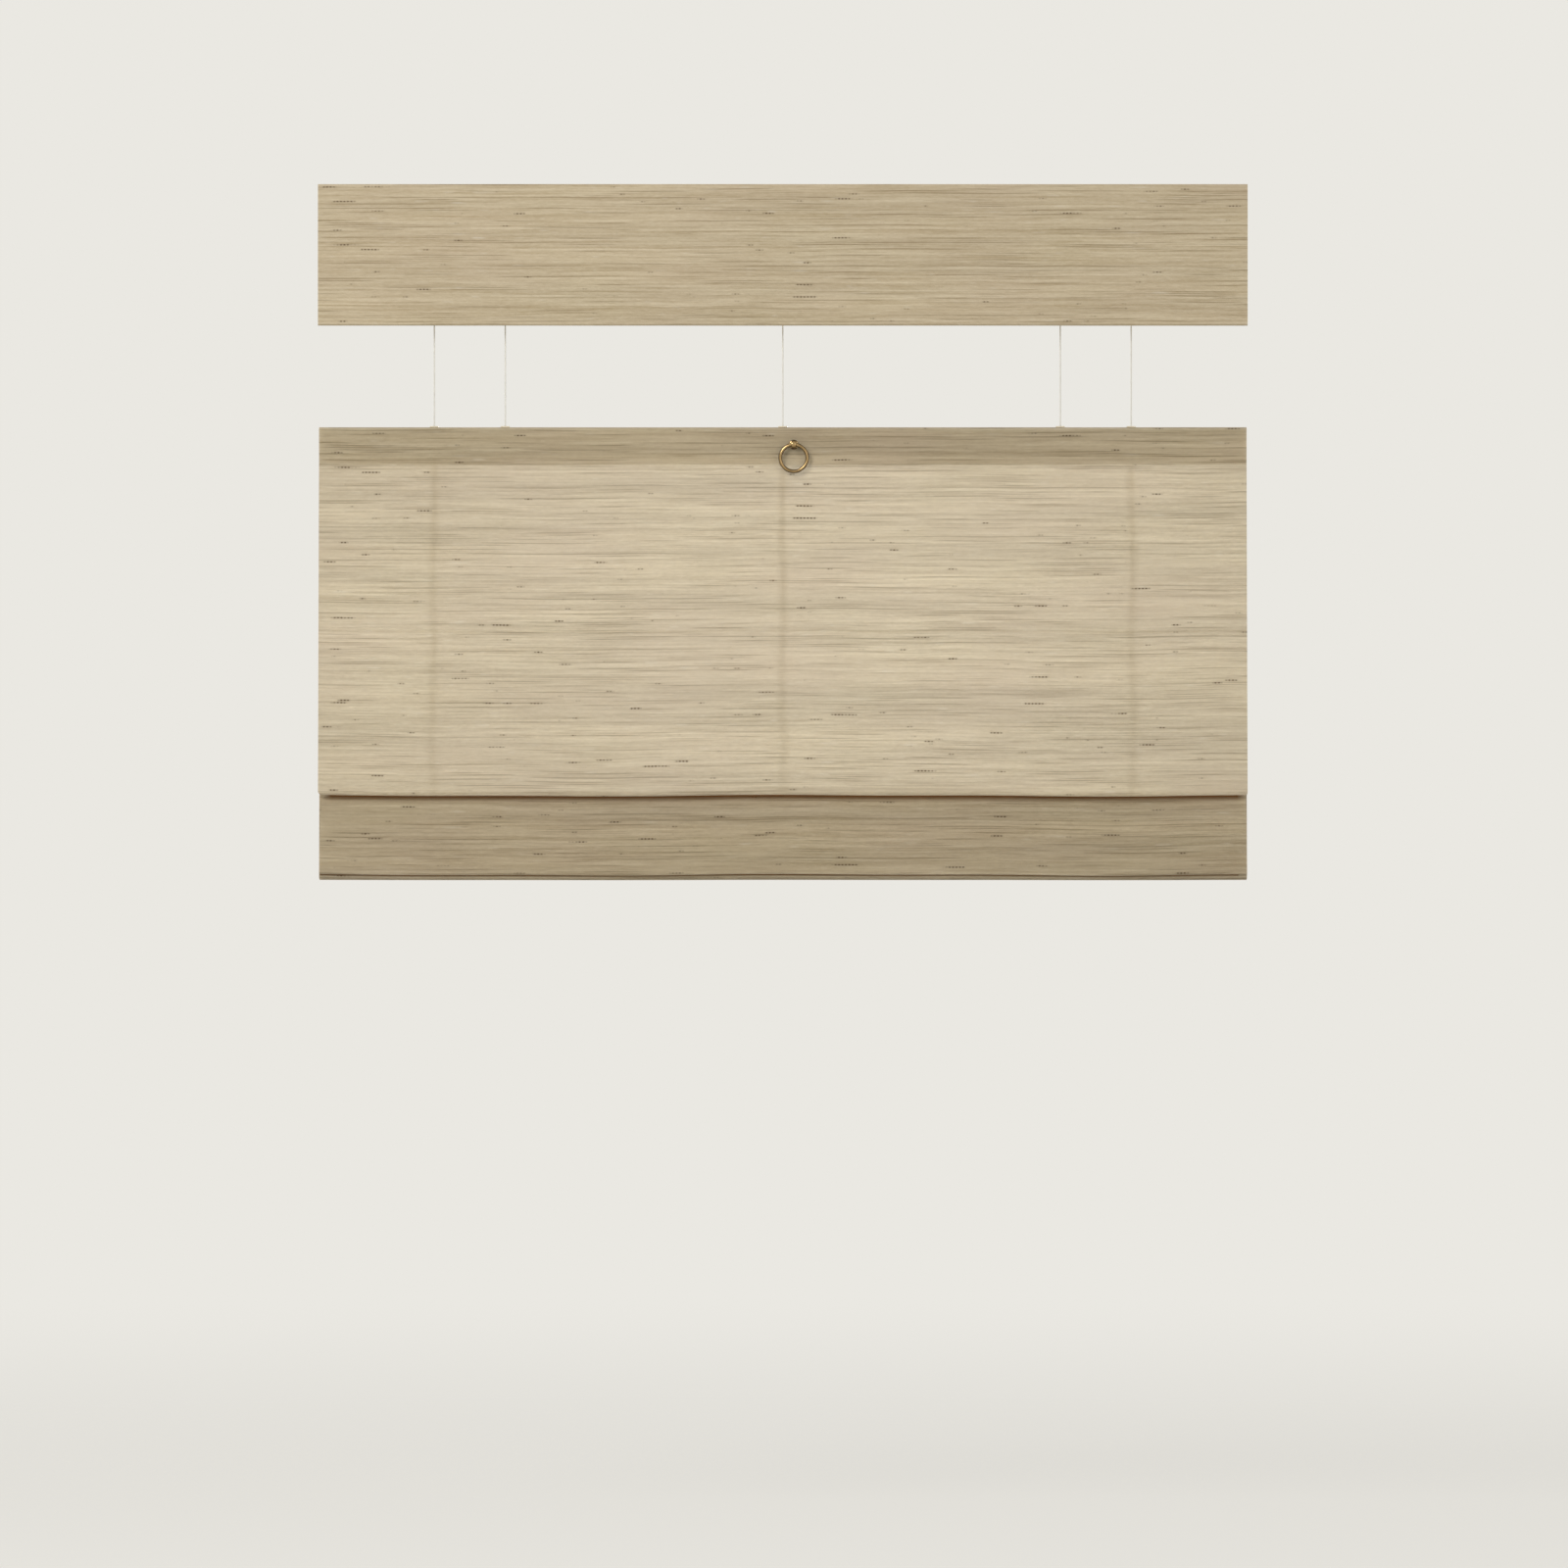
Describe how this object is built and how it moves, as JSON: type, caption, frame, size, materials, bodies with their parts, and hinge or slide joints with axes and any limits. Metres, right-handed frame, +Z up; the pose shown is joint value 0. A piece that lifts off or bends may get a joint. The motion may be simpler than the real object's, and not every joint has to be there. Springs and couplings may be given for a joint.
{
  "type": "woven roman blind",
  "caption": "Flat woven roman blind with a valance, a middle rail that lowers from the top, a folded bottom drawn up on cords, and a brass pull ring.",
  "frame": {"origin": "middle of the plane where the crowns of the two mounting brackets meet the window head", "axes": "+X along the headrail to the right as seen from the room, +Y from the room to the window, +Z up"},
  "size_m": [0.914, 0.0475, 0.6854],
  "materials": {
    "woven_cloth": "natural grass weave",
    "headrail_enamel": "white enamel",
    "white_moulding": "matt",
    "bracket_steel": "zinc plated",
    "shaft_steel": "bright drawn",
    "grey_moulding": "matt",
    "strip_tape": "hook and loop",
    "rail_aluminium": "mill finish",
    "cream_moulding": "matt",
    "antique_brass": "antique",
    "white_cord": "braided"
  },
  "bodies": {
    "headrail": {"headrail": "headrail_enamel", "valance": "woven_cloth", "valance_hem_bar": "shaft_steel", "valance_hook_strip": "strip_tape", "valance_loop_strip": "strip_tape", "headrail_end_cap_left": "white_moulding", "headrail_end_cap_right": "white_moulding", "mounting_bracket_left": "bracket_steel", "mounting_bracket_right": "bracket_steel", "mid_cradle_left": "white_moulding", "mid_cradle_right": "white_moulding", "bottom_cradle_left": "white_moulding", "bottom_cradle_centre": "white_moulding", "bottom_cradle_right": "white_moulding", "mid_spring": "shaft_steel", "mid_spring_case": "grey_moulding", "mid_spring_cover": "grey_moulding", "bottom_spring": "shaft_steel", "bottom_spring_case": "grey_moulding", "bottom_spring_cover": "grey_moulding"},
    "mid_shaft": {"mid_lift_shaft": "shaft_steel", "mid_spring_arbor": "grey_moulding", "mid_spool_left": "white_moulding", "mid_spool_right": "white_moulding"},
    "bottom_shaft": {"bottom_lift_shaft": "shaft_steel", "bottom_spring_arbor": "grey_moulding", "bottom_spool_left": "white_moulding", "bottom_spool_centre": "white_moulding", "bottom_spool_right": "white_moulding"},
    "mid_rail": {"mid_rail": "rail_aluminium", "ring_eye": "antique_brass", "woven_panel": "woven_cloth", "mid_rail_end_cap_left": "cream_moulding", "mid_rail_end_cap_right": "cream_moulding", "mid_grommet_left": "cream_moulding", "mid_grommet_right": "cream_moulding", "bottom_grommet_left": "cream_moulding", "bottom_grommet_centre": "cream_moulding", "bottom_grommet_right": "cream_moulding", "mid_cord_stop_left": "white_moulding", "mid_cord_stop_right": "white_moulding", "mid_cord_left": "white_cord", "mid_cord_right": "white_cord"},
    "pull_ring": {"pull_ring": "antique_brass"},
    "bottom_bar": {"bottom_bar": "rail_aluminium", "cord_cleat_left": "white_moulding", "cord_cleat_centre": "white_moulding", "cord_cleat_right": "white_moulding", "bottom_cord_left": "white_cord", "bottom_cord_centre": "white_cord", "bottom_cord_right": "white_cord", "shroud_tape_left": "white_cord", "shroud_tape_centre": "white_cord", "shroud_tape_right": "white_cord"}
  },
  "joints": [
    {"name": "mid_rail_slide", "type": "slide", "parent": "headrail", "child": "mid_rail", "axis": [0, 0, 1], "range_m": [-0.11, 0.104], "deforming": ["woven_panel", "shroud_tape_left", "shroud_tape_centre", "shroud_tape_right", "mid_cord_left", "mid_cord_right"]},
    {"name": "bottom_bar_slide", "type": "slide", "parent": "headrail", "child": "bottom_bar", "axis": [0, 0, 1], "range_m": [-0.475, 0.1], "deforming": ["woven_panel", "shroud_tape_left", "shroud_tape_centre", "shroud_tape_right", "bottom_cord_left", "bottom_cord_centre", "bottom_cord_right"]},
    {"name": "ring_swing", "type": "hinge", "parent": "mid_rail", "child": "pull_ring", "pos_m": [0.0108, -0.011, -0.25625], "axis": [-1, 0, 0], "range_deg": [-8, 110]},
    {"name": "mid_shaft_turn", "type": "hinge", "parent": "headrail", "child": "mid_shaft", "pos_m": [0, -0.007, -0.0184], "axis": [1, 0, 0], "range_deg": [-910, 860]},
    {"name": "bottom_shaft_turn", "type": "hinge", "parent": "headrail", "child": "bottom_shaft", "pos_m": [0, 0.007, -0.0184], "axis": [1, 0, 0], "range_deg": [-830, 3900]}
  ],
  "couplings": [
    {"joint": "mid_shaft_turn", "follows": "mid_rail_slide", "rad_per_m": 142.86},
    {"joint": "bottom_shaft_turn", "follows": "bottom_bar_slide", "rad_per_m": -142.86}
  ]
}
